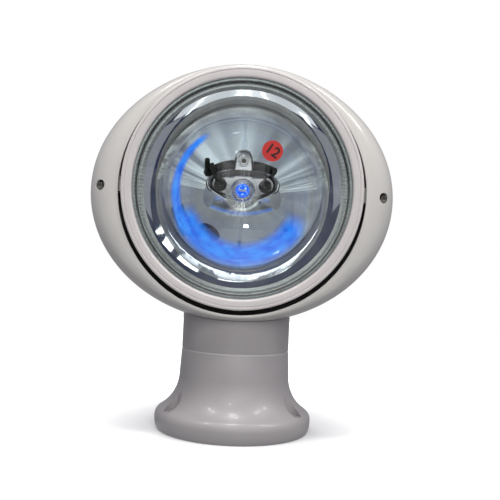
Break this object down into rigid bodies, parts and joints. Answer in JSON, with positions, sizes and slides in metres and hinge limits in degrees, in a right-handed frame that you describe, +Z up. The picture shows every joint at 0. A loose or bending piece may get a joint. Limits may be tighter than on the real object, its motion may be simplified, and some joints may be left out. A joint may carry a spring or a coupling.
{
  "type": "marine searchlight",
  "caption": "Remote-controlled marine searchlight: a round lamp tilts in an egg-shaped head that pans on a flared deck pedestal, driven by geared motors inside.",
  "frame": {"origin": "centre of the deck face, on the pan axis", "axes": "+Z up along the pan axis, the lens faces -Y at rest, +X is the light's left side"},
  "size_m": [0.2728, 0.1552, 0.3274],
  "materials": {
    "white_shell": "gloss moulded, off-white",
    "white_pedestal": "gloss moulded, off-white",
    "bezel_white": "satin moulded, warm off-white",
    "mirror": "vacuum metallised",
    "lens_glass": "clear, polished",
    "bulb_blue_glass": "blue coated quartz",
    "bulb_metal": "pressed and plated",
    "steel": "stainless",
    "bronze": "sintered bearing bronze",
    "rubber": "matt",
    "black_plastic": "matt moulded",
    "grey_nylon": "satin moulded",
    "gear_nylon": "natural acetal",
    "motor_can": "drawn steel can",
    "ceramic": "unglazed",
    "lead_sleeve": "sleeved wire",
    "sticker_red": "printed film"
  },
  "bodies": {
    "base": {"pedestal_base": "white_pedestal", "deck_gasket": "rubber", "bottom_cover": "grey_nylon", "bottom_cover_screws": "steel", "cable_gland": "black_plastic", "gland_nut": "black_plastic", "pan_motor": "motor_can", "pan_motor_screws": "steel", "spindle_bush": "bronze", "slide_ring": "grey_nylon"},
    "pan_drive": {"pan_motor_shaft": "steel", "pan_pinion": "gear_nylon"},
    "turret": {"turret_neck": "white_pedestal", "pan_spindle": "steel", "spindle_screws": "steel", "pan_gear": "gear_nylon", "gear_pin": "steel", "spring_washer": "steel", "spindle_nut": "steel", "yoke": "black_plastic", "yoke_screws": "steel", "trunnion_block_left": "grey_nylon", "trunnion_block_right": "grey_nylon", "trunnion_bush_left": "bronze", "trunnion_bush_right": "bronze", "front_shell": "white_shell", "rear_shell": "white_shell", "shell_screws": "steel", "tilt_bracket": "steel", "tilt_bracket_screws": "steel", "tilt_motor": "motor_can"},
    "tilt_drive": {"tilt_motor_shaft": "steel", "tilt_pinion": "gear_nylon"},
    "lamp": {"lamp_housing": "black_plastic", "trunnion_pin_left": "steel", "trunnion_pin_right": "steel", "reflector": "mirror", "lens_gasket": "rubber", "lens": "lens_glass", "lens_sticker": "sticker_red", "bezel": "bezel_white", "bezel_screw": "steel", "bezel_hook": "steel", "bulb_glass": "bulb_blue_glass", "bulb_filament": "steel", "bulb_base": "bulb_metal", "bulb_clip": "steel", "bulb_socket": "ceramic", "bulb_leads": "lead_sleeve", "tilt_sector": "gear_nylon", "sector_screws": "steel"}
  },
  "joints": [
    {"name": "pan", "type": "hinge", "parent": "base", "child": "turret", "pos_m": [0, 0, 0], "axis": [0, 0, 1], "range_deg": [-185, 185]},
    {"name": "tilt", "type": "hinge", "parent": "turret", "child": "lamp", "pos_m": [0, -0.0435, 0.215], "axis": [-1, 0, 0], "range_deg": [-13, 12]},
    {"name": "pan_pinion_spin", "type": "hinge", "parent": "base", "child": "pan_drive", "pos_m": [0.028, 0, 0], "axis": [0, 0, 1], "range_deg": [-463, 463]},
    {"name": "tilt_pinion_spin", "type": "hinge", "parent": "turret", "child": "tilt_drive", "pos_m": [0, 0.03271, 0.171], "axis": [-1, 0, 0], "range_deg": [-131, 131]}
  ],
  "couplings": [
    {"joint": "pan_pinion_spin", "follows": "pan", "ratio": -2.5},
    {"joint": "tilt_pinion_spin", "follows": "tilt", "ratio": -10}
  ]
}
